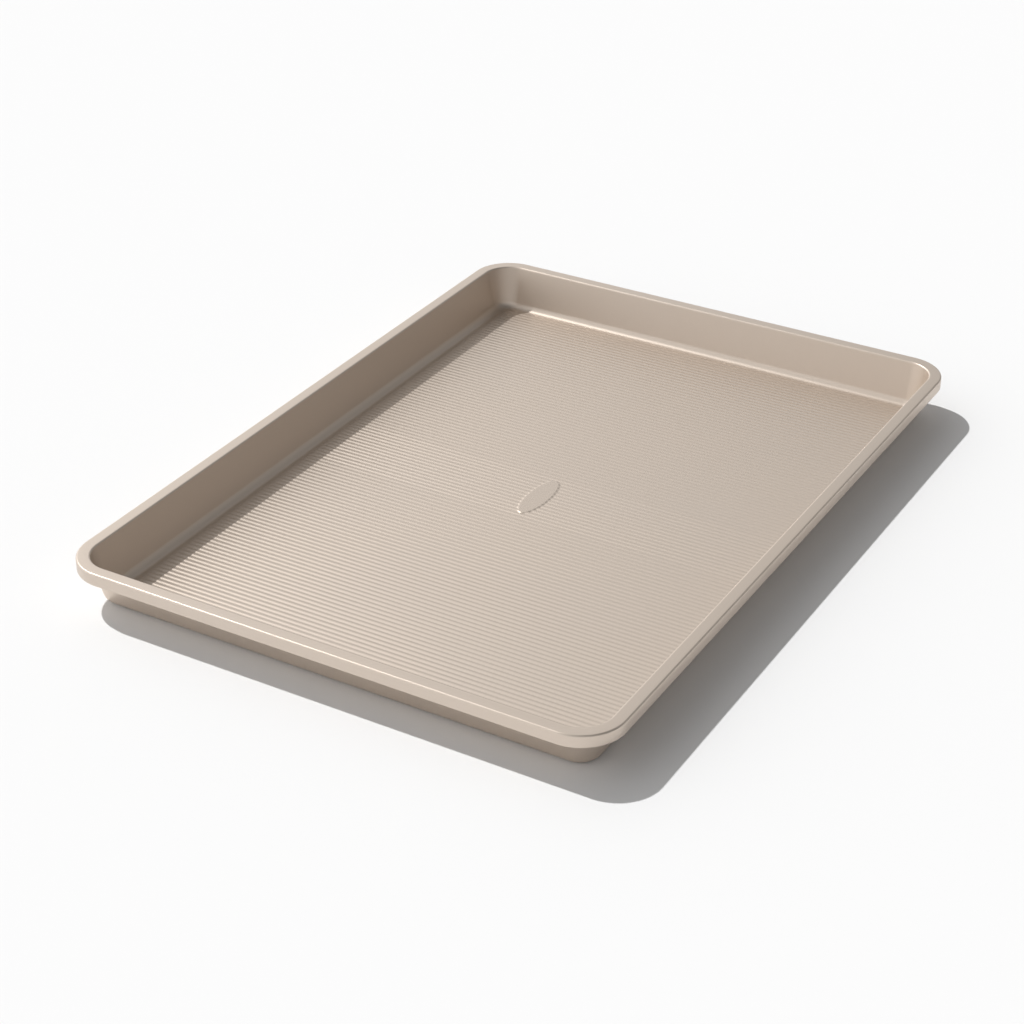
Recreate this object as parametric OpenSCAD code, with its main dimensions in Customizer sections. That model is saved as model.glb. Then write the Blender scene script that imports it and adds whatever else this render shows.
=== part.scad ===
// Jelly roll pan: a shallow baking tray pressed from one steel sheet, with a ribbed floor,
// drafted walls, a square rolled rim and a reinforcing wire inside the roll.
// Millimetres, Z up. The origin is on the resting plane, under the centre of the pan.
// X runs along the short sides and Y along the long sides.
// The sheet is divided where its forming changes, and its zones meet face to face.

/* [Pan] */
// Outer length, over the rim
pan_length = 416; // [300:1:520]
// Outer width, over the rim
pan_width = 298.4; // [200:0.1:400]
// Height from the resting plane to the top of the rim
pan_height = 25; // [18:0.5:60]
// Thickness of the steel sheet
sheet = 0.7; // [0.5:0.05:1.2]

/* [Walls] */
// Lean of the walls away from upright, in degrees
wall_draft = 14; // [4:1:30]
// Radius of the bend between floor and walls, inside the pan
floor_bend_r = 4.8; // [2:0.1:8]
// Inside radius of the bend between walls and rim
brow_bend_r = 0.4; // [0.2:0.1:2]
// Radius of the floor's corners, seen from above
floor_corner_r = 6.2; // [3:0.1:20]

/* [Rolled rim] */
// Inside radius of the rim's two outer bends
rim_bend_r = 0.3; // [0.2:0.05:1]
// Room left in the roll above the wire
roll_headroom = 0.65; // [0.2:0.05:2]
// Room left in the roll between the wire and the wall
roll_side_room = 1.35; // [0.8:0.05:3]
// Gap between the tucked edge of the sheet and the wall
lip_gap = 0.4; // [0.2:0.05:0.8]

/* [Rim wire] */
// Diameter of the reinforcing wire
wire_d = 4.8; // [3:0.1:6]
// Clearance between the wire and the sheet that it lies against
wire_gap = 0.15; // [0.05:0.05:0.3]

/* [Ribbed floor] */
// Distance from one rib to the next
rib_pitch = 3.175; // [2:0.025:6]
// Height of the ribs over the flat margin
rib_height = 0.25; // [0.2:0.05:0.6]
// Width of the flat margin between the ribs and the floor bend
rib_margin = 0.5; // [0.4:0.1:2]

/* [Centre pad] */
// Length of the smooth oval pad
pad_length = 38.1; // [20:0.1:80]
// Width of the smooth oval pad
pad_width = 12.7; // [8:0.1:40]
// Height of the pad over the crests of the ribs
pad_rise = 0.1; // [0.05:0.05:0.2]

/* [Hidden] */
$fn = 96;
rib_steps = 8;
pad_steps = 64;
cut_reach = 3;

half_turn = (90 - wall_draft) / 2;
wall_lean = tan(wall_draft);
wall_out = cos(wall_draft);

// The roll is sized round its wire. Insets count from the rim's outer face.
rim_drop = 2 * sheet + wire_gap + wire_d + roll_headroom;
wire_inset = sheet + wire_gap + wire_d / 2;
wire_z = pan_height - rim_drop + sheet + wire_gap + wire_d / 2;
wall_back_inset = wire_inset + (wire_d / 2 + roll_side_room) / wall_out;
rim_top = wall_back_inset + sheet / wall_out - (pan_height - wire_z) * wall_lean;
rim_outer_r = rim_bend_r + sheet;
lip_end = rim_top + (rim_drop - sheet) * wall_lean - sheet / wall_out - lip_gap;

brow_outer_r = brow_bend_r + sheet;
brow_inset = rim_top - brow_outer_r * tan(half_turn);
wall_slope = (pan_height - sheet) / wall_out;
wall_run = wall_slope - (brow_outer_r + floor_bend_r) * tan(half_turn);
floor_inset = rim_top + (pan_height - sheet) * wall_lean + floor_bend_r * tan(half_turn);
corner_r = floor_corner_r + floor_inset;

rib_room = pan_length / 2 - floor_inset - rib_margin;
rib_count = 2 * floor(rib_room / rib_pitch);
field_length = rib_count * rib_pitch;
field_width = pan_width - 2 * (floor_inset + rib_margin);

// One bend of the sheet in cross-section: a ring sector round a centre, from one angle to another
module bend(centre, inside_r, from, to) {
    reach = 2 * (inside_r + sheet);
    middle = (from + to) / 2;
    translate(centre)
        intersection() {
            difference() {
                circle(r = inside_r + sheet);
                circle(r = inside_r);
            }
            polygon([[0, 0],
                     reach * [cos(from), sin(from)],
                     reach * [cos(middle), sin(middle)],
                     reach * [cos(to), sin(to)]]);
        }
}

// Cross-section of the wall, with the brow bend above it and the floor bend below it.
// It is drawn with the wall upright, round the brow bend's centre, and then leaned by the draft.
module wall_section() {
    translate([brow_inset, pan_height - brow_outer_r])
        rotate(wall_draft) {
            bend([0, 0], brow_bend_r, 0, 90 - wall_draft);
            translate([brow_bend_r, -wall_run])
                square([sheet, wall_run]);
            bend([brow_outer_r + floor_bend_r, -wall_run], floor_bend_r, 180, 270 - wall_draft);
        }
}

// Cross-section of the roll: flat top, outer face and the lip tucked back under the wire
module rim_section() {
    low = pan_height - rim_drop;
    translate([rim_outer_r, pan_height - sheet])
        square([brow_inset - rim_outer_r, sheet]);
    bend([rim_outer_r, pan_height - rim_outer_r], rim_bend_r, 90, 180);
    translate([0, low + rim_outer_r])
        square([sheet, rim_drop - 2 * rim_outer_r]);
    bend([rim_outer_r, low + rim_outer_r], rim_bend_r, 180, 270);
    translate([rim_outer_r, low])
        square([lip_end - rim_outer_r, sheet]);
}

module wire_section() {
    translate([wire_inset, wire_z])
        circle(d = wire_d);
}

// Carries a cross-section along one straight side: 0 is left, 1 front, 2 right and 3 back
module along_side(side) {
    span = side % 2 == 0 ? pan_width : pan_length;
    run = (side % 2 == 0 ? pan_length : pan_width) - 2 * corner_r;
    rotate([0, 0, 90 * side])
        translate([-span / 2, 0, 0])
            rotate([90, 0, 0])
                linear_extrude(height = run, center = true)
                    children();
}

// Carries a cross-section round one corner: 0 is back right, 1 back left, 2 front left, 3 front right
module round_corner(corner) {
    across = corner % 2 == 0 ? pan_width : pan_length;
    along = corner % 2 == 0 ? pan_length : pan_width;
    rotate([0, 0, 90 * corner])
        translate([across / 2 - corner_r, along / 2 - corner_r, 0])
            rotate_extrude(angle = 90)
                translate([corner_r, 0])
                    mirror([1, 0])
                        children();
}

module rounded_rectangle(width, length, radius) {
    square([width - 2 * radius, length], center = true);
    square([width, length - 2 * radius], center = true);
    for (x = [-1, 1], y = [-1, 1])
        translate([x * (width / 2 - radius), y * (length / 2 - radius)])
            circle(r = radius);
}

module floor_outline() {
    rounded_rectangle(pan_width - 2 * floor_inset, pan_length - 2 * floor_inset, floor_corner_r);
}

module field_outline() {
    rounded_rectangle(field_width, field_length, floor_corner_r - rib_margin);
}

module pad_outline() {
    polygon([for (i = [0 : pad_steps - 1])
        [pad_width / 2 * cos(i * 360 / pad_steps), pad_length / 2 * sin(i * 360 / pad_steps)]]);
}

// Height of the rib wave over the margin: a trough lies under the centre of the pan
function wave(y) = rib_height * (1 - cos(360 * y / rib_pitch)) / 2;

// The wavy sheet of the rib field, one rib longer at each end than the field that is cut from it
module rib_wave() {
    last = (rib_count + 2) * rib_steps;
    ys = [for (i = [0 : last]) (i - last / 2) * rib_pitch / rib_steps];
    top = [for (y = ys) [y, sheet + wave(y)]];
    under = [for (i = [last : -1 : 0]) [ys[i], wave(ys[i])]];
    rotate([90, 0, 90])
        linear_extrude(height = field_width + 2 * cut_reach, center = true)
            polygon(concat(top, under));
}

module sheet_colour() {
    color([0.78, 0.71, 0.64])
        children();
}

module floor_panel() {
    sheet_colour() {
        difference() {
            union() {
                linear_extrude(height = sheet)
                    difference() {
                        floor_outline();
                        field_outline();
                    }
                intersection() {
                    rib_wave();
                    linear_extrude(height = 2 * cut_reach, center = true)
                        field_outline();
                }
            }
            linear_extrude(height = 2 * cut_reach, center = true)
                pad_outline();
        }
        translate([0, 0, rib_height + pad_rise])
            linear_extrude(height = sheet)
                pad_outline();
    }
}

module wall(side) {
    sheet_colour()
        along_side(side)
            wall_section();
}

module wall_corner(corner) {
    sheet_colour()
        round_corner(corner)
            wall_section();
}

module rim(side) {
    sheet_colour()
        along_side(side)
            rim_section();
}

module rim_corner(corner) {
    sheet_colour()
        round_corner(corner)
            rim_section();
}

// One wire bent to the rim's outline, with its ends butted
module rim_wire() {
    color([0.62, 0.63, 0.64])
        union() {
            for (i = [0 : 3]) {
                along_side(i)
                    wire_section();
                round_corner(i)
                    wire_section();
            }
        }
}

floor_panel();
wall(0);  // left_wall
wall(1);  // front_wall
wall(2);  // right_wall
wall(3);  // back_wall
wall_corner(0);  // back_right_corner
wall_corner(1);  // back_left_corner
wall_corner(2);  // front_left_corner
wall_corner(3);  // front_right_corner
rim(0);  // left_rim
rim(1);  // front_rim
rim(2);  // right_rim
rim(3);  // back_rim
rim_corner(0);  // back_right_rim_corner
rim_corner(1);  // back_left_rim_corner
rim_corner(2);  // front_left_rim_corner
rim_corner(3);  // front_right_rim_corner
rim_wire();
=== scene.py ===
import math
import bpy
import numpy as np
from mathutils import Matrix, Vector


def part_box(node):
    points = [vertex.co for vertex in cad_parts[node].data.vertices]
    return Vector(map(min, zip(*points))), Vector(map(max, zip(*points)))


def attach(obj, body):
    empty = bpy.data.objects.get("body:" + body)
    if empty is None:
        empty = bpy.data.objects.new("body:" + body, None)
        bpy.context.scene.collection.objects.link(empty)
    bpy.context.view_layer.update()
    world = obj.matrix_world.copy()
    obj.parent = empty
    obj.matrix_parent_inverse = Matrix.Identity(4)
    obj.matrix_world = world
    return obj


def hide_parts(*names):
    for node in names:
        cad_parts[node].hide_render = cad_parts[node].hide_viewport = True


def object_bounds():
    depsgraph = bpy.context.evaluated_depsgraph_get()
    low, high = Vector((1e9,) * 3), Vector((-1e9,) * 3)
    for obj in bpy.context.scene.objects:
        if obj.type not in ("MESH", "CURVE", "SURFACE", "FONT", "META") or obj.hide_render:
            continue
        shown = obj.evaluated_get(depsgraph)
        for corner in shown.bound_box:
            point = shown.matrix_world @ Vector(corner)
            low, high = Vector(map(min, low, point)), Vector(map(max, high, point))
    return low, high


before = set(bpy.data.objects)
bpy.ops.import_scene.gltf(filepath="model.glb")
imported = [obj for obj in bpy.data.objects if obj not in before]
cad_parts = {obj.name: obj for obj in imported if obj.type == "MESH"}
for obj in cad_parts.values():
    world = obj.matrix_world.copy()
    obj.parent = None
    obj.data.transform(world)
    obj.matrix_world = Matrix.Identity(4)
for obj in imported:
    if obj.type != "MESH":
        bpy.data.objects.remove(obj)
cad_box = np.array(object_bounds())

# Ribbed floor
# The bottom of one pressed sheet of aluminised steel, embossed with low rounded ribs that run
# across the pan, so the same wave shows underneath. A smooth oval is left raised in the middle.
sheet = 0.0007
rib_pitch = 0.003175
rib_height = 0.00025
rib_margin = 0.0005
rib_run_out = 0.0016
pad_length = 0.0381
pad_width = 0.0127
pad_rise = 0.0001
pad_bend = 0.0005
floor_corner_r = 0.0062
seam_flat = 0.00005    # flat strip that each bend carries past its end, so shading runs across

floor_edge = np.array(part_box("floor_panel"))[1]
floor_half_x = floor_edge[0] - seam_flat
floor_half_y = floor_edge[1] - seam_flat
ribs_each_way = int((floor_edge[1] - rib_margin) / rib_pitch)
field_half_y = ribs_each_way * rib_pitch


def smooth_step(t):
    """Rises from 0 to 1 as t does: t squared times (3 - 2t), with t held between 0 and 1."""
    t = np.clip(t, 0.0, 1.0)
    return t * t * (3.0 - 2.0 * t)


def floor_rows():
    """Places along Y: even steps within each rib, finer beside the pad, and steps that shrink
    with the square of the distance over the flat margin, where the corners curve."""
    pad_ribs = 7
    beside_pad = np.linspace(0.0, pad_ribs * rib_pitch, pad_ribs * 10 + 1)
    beyond = np.linspace(pad_ribs * rib_pitch, field_half_y, (ribs_each_way - pad_ribs) * 6 + 1)
    margin = floor_half_y - (floor_half_y - field_half_y) * np.linspace(1.0, 0.0, 8) ** 2
    half = np.concatenate([beside_pad, beyond[1:], margin[1:]])
    return np.concatenate([-half[:0:-1], half])


def floor_columns(rows):
    """Places along X for every row: fixed ones over the pad and the middle, and ones that keep
    their distance from the edge, which is straight and then follows the corner's arc."""
    corner_r = floor_corner_r - seam_flat
    past = np.clip(np.abs(rows) - (floor_half_y - corner_r), 0.0, corner_r)
    edge = floor_half_x - corner_r + np.sqrt(corner_r ** 2 - past ** 2)
    fixed = np.concatenate([np.linspace(0.0, 0.008, 17), [0.04, 0.08, 0.115]])
    from_edge = rib_margin + rib_run_out * np.array([1.6, 1.0, 0.75, 0.5, 0.25, 0.0])
    outer = edge[:, None] - np.append(from_edge, 0.0)
    half = np.concatenate([np.broadcast_to(fixed, (len(rows), len(fixed))), outer], axis=1)
    return np.concatenate([-half[:, :0:-1], half], axis=1), edge


def floor_height(x, y, edge):
    """Height of the top side. The ribs are half of (1 - cosine) over the pitch, times their
    height, and run out before the edge; inside the oval the height is the pad's."""
    run_out = smooth_step((edge - rib_margin - np.abs(x)) / rib_run_out)
    ribs = rib_height * 0.5 * (1.0 - np.cos(2.0 * np.pi * y / rib_pitch)) * run_out
    a, b = pad_width / 2.0, pad_length / 2.0
    oval = np.hypot(x / a, y / b)
    slope = np.hypot(x / a ** 2, y / b ** 2) / np.maximum(oval, 1e-6)
    outside = (oval - 1.0) / np.maximum(slope, 1e-3)
    pad = smooth_step(0.5 - outside / pad_bend)
    return sheet + ribs * (1.0 - pad) + (rib_height + pad_rise) * pad


def make_piece(name, points, quads, sharp_degrees=35.0):
    """Puts points and four-sided faces into a mesh, shaded smooth but for its sharp edges."""
    mesh = bpy.data.meshes.new(name)
    mesh.from_pydata(points.tolist(), [], quads.tolist())
    mesh.polygons.foreach_set("use_smooth", np.ones(len(quads), dtype=bool))
    mesh.set_sharp_from_angle(angle=math.radians(sharp_degrees))
    mesh.update()
    piece = bpy.data.objects.new(name, mesh)
    bpy.context.scene.collection.objects.link(piece)
    return piece


def grid_quads(rows, columns):
    """Faces of a grid of points, turned so that they look up when rows climb in Y and columns in X."""
    index = np.arange(rows * columns).reshape(rows, columns)
    corners = [index[:-1, :-1], index[:-1, 1:], index[1:, 1:], index[1:, :-1]]
    return np.stack(corners, axis=-1).reshape(-1, 4), index


def sheet_from_grid(name, x, y, z):
    """A closed sheet: the grid at height z, the same grid one thickness lower and turned over,
    and a strip of faces that joins the two borders."""
    top = np.stack([x, y, z], axis=-1).reshape(-1, 3)
    under = top - np.array([0.0, 0.0, sheet])
    faces, index = grid_quads(*x.shape)
    border = np.concatenate([index[0, :-1], index[:-1, -1], index[-1, :0:-1], index[:0:-1, 0]])
    ahead = np.roll(border, -1)
    count = len(top)
    strip = np.stack([border, border + count, ahead + count, ahead], axis=-1)
    quads = np.concatenate([faces, faces[:, ::-1] + count, strip])
    return make_piece(name, np.concatenate([top, under]), quads)


rows = floor_rows()
columns, floor_edge_x = floor_columns(rows)
row_y = np.broadcast_to(rows[:, None], columns.shape)
ribbed_floor = sheet_from_grid("ribbed_floor", columns, row_y,
                               floor_height(columns, row_y, floor_edge_x[:, None]))


def linear(hex_colour):
    """sRGB hex to linear light: c / 12.92 up to 0.04045, and ((c + 0.055) / 1.055) ^ 2.4 above."""
    channels = [int(hex_colour[i:i + 2], 16) / 255.0 for i in (1, 3, 5)]
    bright = [c / 12.92 if c <= 0.04045 else ((c + 0.055) / 1.055) ** 2.4 for c in channels]
    return (*bright, 1.0)


def add_node(tree, kind, inputs=None, **settings):
    """Adds one node with its settings. An input that is given as a socket is linked, and any
    other input takes the value."""
    node = tree.nodes.new(kind)
    for name, value in settings.items():
        setattr(node, name, value)
    for name, value in (inputs or {}).items():
        if isinstance(value, bpy.types.NodeSocket):
            tree.links.new(value, node.inputs[name])
        else:
            node.inputs[name].default_value = value
    return node


def new_material(name):
    """An empty material and its node tree."""
    material = bpy.data.materials.new(name)
    material.use_nodes = True
    material.node_tree.nodes.clear()
    return material, material.node_tree


def champagne_nonstick():
    """Silicone non-stick coating with a metal flake, sprayed on steel and baked. It reflects like
    satin metal, and its flake and fine orange peel soften every reflection."""
    material, tree = new_material("champagne_nonstick")
    place = add_node(tree, "ShaderNodeTexCoord").outputs["Object"]
    flake_mm, peel_mm, drift_mm = 0.35, 0.9, 90.0
    flake = add_node(tree, "ShaderNodeTexNoise", {"Vector": place, "Scale": 1000.0 / flake_mm,
                                                  "Detail": 2.0})
    peel = add_node(tree, "ShaderNodeTexNoise", {"Vector": place, "Scale": 1000.0 / peel_mm,
                                                 "Detail": 1.0})
    drift = add_node(tree, "ShaderNodeTexNoise", {"Vector": place, "Scale": 1000.0 / drift_mm,
                                                  "Detail": 2.0})
    flecked = add_node(tree, "ShaderNodeMix", {"Factor": flake.outputs["Fac"],
                                               "A": linear("#D0C3B7"), "B": linear("#DCCFC2")},
                       data_type="RGBA")
    drifted = add_node(tree, "ShaderNodeMix", {"Factor": drift.outputs["Fac"],
                                               "A": flecked.outputs["Result"],
                                               "B": linear("#D6C8BA")}, data_type="RGBA")
    satin = add_node(tree, "ShaderNodeMapRange", {"Value": drift.outputs["Fac"],
                                                  "To Min": 0.37, "To Max": 0.43})
    bump = add_node(tree, "ShaderNodeBump", {"Height": peel.outputs["Fac"], "Strength": 0.25,
                                             "Distance": 0.00001})
    shader = add_node(tree, "ShaderNodeBsdfPrincipled", {"Base Color": drifted.outputs["Result"],
                                                         "Metallic": 0.8,
                                                         "Roughness": satin.outputs["Result"],
                                                         "Normal": bump.outputs["Normal"]})
    add_node(tree, "ShaderNodeOutputMaterial", {"Surface": shader.outputs["BSDF"]})
    return material


coating = champagne_nonstick()
ribbed_floor.data.materials.append(coating)
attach(ribbed_floor, "root")
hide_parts("floor_panel")

# Drawn walls
# The same sheet where the punch has drawn it up: four drafted sides and four cone-shaped corners,
# with a wide bend at the floor and a tight one at the brow, where the wall turns into the rim.
pan_half_x, pan_half_y, pan_height = cad_box[1]
wall_draft = math.radians(14.0)
floor_bend_r = 0.0048
brow_bend_r = 0.0004
brow_outer_r = brow_bend_r + sheet
half_turn = (math.pi / 2.0 - wall_draft) / 2.0
floor_inset = pan_half_x - floor_edge[0]
corner_r = floor_corner_r + floor_inset
rim_top = (floor_inset - (pan_height - sheet) * math.tan(wall_draft)
           - floor_bend_r * math.tan(half_turn))
brow_inset = rim_top - brow_outer_r * math.tan(half_turn)


def arc(centre, radius, start_degrees, end_degrees, steps):
    """Points of an arc: the centre plus the radius times (cosine, sine) of evenly spaced angles."""
    angles = np.radians(np.linspace(start_degrees, end_degrees, steps + 1))
    return np.array(centre) + radius * np.stack([np.cos(angles), np.sin(angles)], axis=-1)


def round_the_pan(name, outline, corner_steps=32):
    """Carries a closed outline of (inset, height) points round the pan. At each corner the points
    turn about the corner's axis at radius (corner_r - inset); straight faces join the corners."""
    run = outline - np.roll(outline, 1, axis=0)
    middle = outline + np.roll(outline, 1, axis=0)
    turning = np.sum(run[:, 0] * middle[:, 1] - run[:, 1] * middle[:, 0])
    if turning < 0.0:
        outline = outline[::-1]
    quarter = np.linspace(0.0, math.pi / 2.0, corner_steps + 1)
    angles = (np.arange(4)[:, None] * math.pi / 2.0 + quarter).ravel()
    side_x = np.repeat([1.0, -1.0, -1.0, 1.0], corner_steps + 1)
    side_y = np.repeat([1.0, 1.0, -1.0, -1.0], corner_steps + 1)
    radius = corner_r - outline[:, 0]
    x = side_x[:, None] * (pan_half_x - corner_r) + np.cos(angles)[:, None] * radius
    y = side_y[:, None] * (pan_half_y - corner_r) + np.sin(angles)[:, None] * radius
    z = np.broadcast_to(outline[:, 1], x.shape)
    index = np.arange(x.size).reshape(x.shape)
    along = np.roll(index, -1, axis=0)
    corners = [index, along, np.roll(along, -1, axis=1), np.roll(index, -1, axis=1)]
    quads = np.stack(corners, axis=-1).reshape(-1, 4)
    return make_piece(name, np.stack([x, y, z], axis=-1).reshape(-1, 3), quads)


brow_centre = (brow_inset, pan_height - brow_outer_r)
foot_centre = (floor_inset, sheet + floor_bend_r)
lean = math.degrees(wall_draft)
wall_outline = np.concatenate([
    [[brow_inset - seam_flat, pan_height]],
    arc(brow_centre, brow_outer_r, 90.0, lean, 12),
    arc(foot_centre, floor_bend_r, 180.0 + lean, 270.0, 16),
    [[floor_inset + seam_flat, sheet], [floor_inset + seam_flat, 0.0]],
    arc(foot_centre, floor_bend_r + sheet, 270.0, 180.0 + lean, 16),
    arc(brow_centre, brow_bend_r, lean, 90.0, 12),
    [[brow_inset - seam_flat, pan_height - sheet]],
])
drawn_walls = round_the_pan("drawn_walls", wall_outline)
drawn_walls.data.materials.append(coating)
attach(drawn_walls, "root")
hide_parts("front_wall", "back_wall", "left_wall", "right_wall",
            "front_left_corner", "front_right_corner", "back_left_corner", "back_right_corner")

# Rolled rim
# The edge of the sheet, turned out flat, down and back under the wire as a square roll. Its two
# outer bends are tight and catch thin highlights. The raw edge stops just short of the wall.
rim_outer_r = 0.0003 + sheet
lip_gap = 0.0004
rim_low, rim_high = np.array(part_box("front_rim"))
roll_low = rim_low[2]
lip_end = (rim_top + (pan_height - roll_low - sheet) * math.tan(wall_draft)
           - sheet / math.cos(wall_draft) - lip_gap)
bend_top = (rim_outer_r, pan_height - rim_outer_r)
bend_low = (rim_outer_r, roll_low + rim_outer_r)
rim_outline = np.concatenate([
    [[brow_inset - seam_flat, pan_height]],
    arc(bend_top, rim_outer_r, 90.0, 180.0, 12),
    arc(bend_low, rim_outer_r, 180.0, 270.0, 12),
    [[lip_end, roll_low], [lip_end, roll_low + sheet]],
    arc(bend_low, rim_outer_r - sheet, 270.0, 180.0, 12),
    arc(bend_top, rim_outer_r - sheet, 180.0, 90.0, 12),
    [[brow_inset - seam_flat, pan_height - sheet]],
])
rolled_rim = round_the_pan("rolled_rim", rim_outline)
rolled_rim.data.materials.append(coating)
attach(rolled_rim, "root")
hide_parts("front_rim", "back_rim", "left_rim", "right_rim",
            "front_left_rim_corner", "front_right_rim_corner",
            "back_left_rim_corner", "back_right_rim_corner")

# Rim wire
# A drawn steel wire, bent to the rim's outline and rolled into it. It stiffens the edge and
# shows only as a glint through the gap at the lip.
wire_low, wire_high = np.array(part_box("rim_wire"))
wire_r = (wire_high[2] - wire_low[2]) / 2.0
wire_centre = (pan_half_x - wire_high[0] + wire_r, wire_low[2] + wire_r)
steel_wire = round_the_pan("steel_wire", arc(wire_centre, wire_r, 0.0, 345.0, 23))


def drawn_steel():
    """Bare carbon steel wire, pulled through a die: grey metal with fine marks."""
    material, tree = new_material("drawn_steel")
    place = add_node(tree, "ShaderNodeTexCoord").outputs["Object"]
    mark_mm = 0.4
    marks = add_node(tree, "ShaderNodeTexNoise", {"Vector": place, "Scale": 1000.0 / mark_mm,
                                                  "Detail": 3.0})
    tone = add_node(tree, "ShaderNodeMix", {"Factor": marks.outputs["Fac"],
                                            "A": linear("#8E9092"), "B": linear("#B4B6B8")},
                    data_type="RGBA")
    worn = add_node(tree, "ShaderNodeMapRange", {"Value": marks.outputs["Fac"],
                                                 "To Min": 0.28, "To Max": 0.42})
    shader = add_node(tree, "ShaderNodeBsdfPrincipled", {"Base Color": tone.outputs["Result"],
                                                         "Metallic": 1.0,
                                                         "Roughness": worn.outputs["Result"]})
    add_node(tree, "ShaderNodeOutputMaterial", {"Surface": shader.outputs["BSDF"]})
    return material


steel_wire.data.materials.append(drawn_steel())
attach(steel_wire, "root")
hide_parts("rim_wire")

# Studio floor
# A plain white sweep under the pan. It renders white where the key light reaches it and keeps
# the pan's shadow. It is just under the resting plane, so the two never share a surface.
floor_reach = 60.0
floor_drop = 0.0001
floor_points = np.array([[-1.0, -1.0, 0.0], [1.0, -1.0, 0.0], [1.0, 1.0, 0.0], [-1.0, 1.0, 0.0]])
studio_floor = make_piece("studio_floor", floor_points * floor_reach - [0.0, 0.0, floor_drop],
                          np.array([[0, 1, 2, 3]]))


def white_sweep():
    """Matt white card, without gloss."""
    material, tree = new_material("white_sweep")
    shader = add_node(tree, "ShaderNodeBsdfDiffuse", {"Color": linear("#E6E6E6")})
    add_node(tree, "ShaderNodeOutputMaterial", {"Surface": shader.outputs["BSDF"]})
    return material


studio_floor.data.materials.append(white_sweep())

# Light
# A small hard key lamp on the left casts the crisp shadow. A second lamp in the same place is
# flagged off anything glossy, so it whitens the card without glare on the pan. Large soft cards
# stand round the pan, brightest on the left and in front, and nothing shines from overhead.
shadow_run_x, shadow_run_y = 0.845, -0.18    # run of the shadow for each unit of height
for lamp_name, strength, in_reflections in (("key_lamp", 1.30, True), ("flagged_lamp", 1.76, False)):
    lamp = bpy.data.lights.new(lamp_name, "SUN")
    lamp.energy = strength
    lamp.angle = math.radians(1.2)
    stand = bpy.data.objects.new(lamp_name, lamp)
    stand.visible_glossy = in_reflections
    stand.rotation_euler = (math.atan(math.hypot(shadow_run_x, shadow_run_y)), 0.0,
                            math.atan2(-shadow_run_x, shadow_run_y))
    bpy.context.scene.collection.objects.link(stand)

surround = bpy.data.worlds.new("surround")
surround.use_nodes = True
surround.node_tree.nodes.clear()
sky = surround.node_tree
direction = add_node(sky, "ShaderNodeTexCoord").outputs["Generated"]
glow = 0.000
cards = [((0.0, -1.0, 0.0), 0.725), ((-1.0, 0.0, 0.0), 1.106), ((1.0, 0.0, 0.0), 0.141),
         ((0.0, 1.0, 0.0), 0.370), ((0.0, 0.0, 1.0), 0.000)]
for facing, strength in cards:
    toward = add_node(sky, "ShaderNodeVectorMath", {0: direction, 1: facing},
                      operation="DOT_PRODUCT").outputs["Value"]
    near = add_node(sky, "ShaderNodeMath", {0: toward, 1: 0.0}, operation="MAXIMUM").outputs[0]
    glow = add_node(sky, "ShaderNodeMath", {0: near, 1: strength, 2: glow},
                    operation="MULTIPLY_ADD").outputs[0]
soft = add_node(sky, "ShaderNodeBackground", {"Color": (1.0, 1.0, 1.0, 1.0), "Strength": glow})
white = add_node(sky, "ShaderNodeBackground", {"Color": (1.0, 1.0, 1.0, 1.0), "Strength": 1.0})
seen = add_node(sky, "ShaderNodeLightPath").outputs["Is Camera Ray"]
both = add_node(sky, "ShaderNodeMixShader", {0: seen, 1: soft.outputs[0], 2: white.outputs[0]})
add_node(sky, "ShaderNodeOutputWorld", {"Surface": both.outputs[0]})
bpy.context.scene.world = surround
bpy.context.scene.view_settings.view_transform = "Standard"

# Camera
# A long lens that looks down at the pan from its front right corner, solved from the straight
# edges of the rim.
camera_place = (0.50793, -0.89872, 0.57181 + pan_height)
camera_azimuth = 30.254
camera_elevation = 30.387
lens = bpy.data.cameras.new("camera")
lens.sensor_width = 36.0
lens.lens = 79.59
lens.clip_end = 200.0
camera = bpy.data.objects.new("camera", lens)
camera.location = camera_place
camera.rotation_euler = (math.radians(90.0 - camera_elevation), 0.0, math.radians(camera_azimuth))
bpy.context.scene.collection.objects.link(camera)
bpy.context.scene.camera = camera
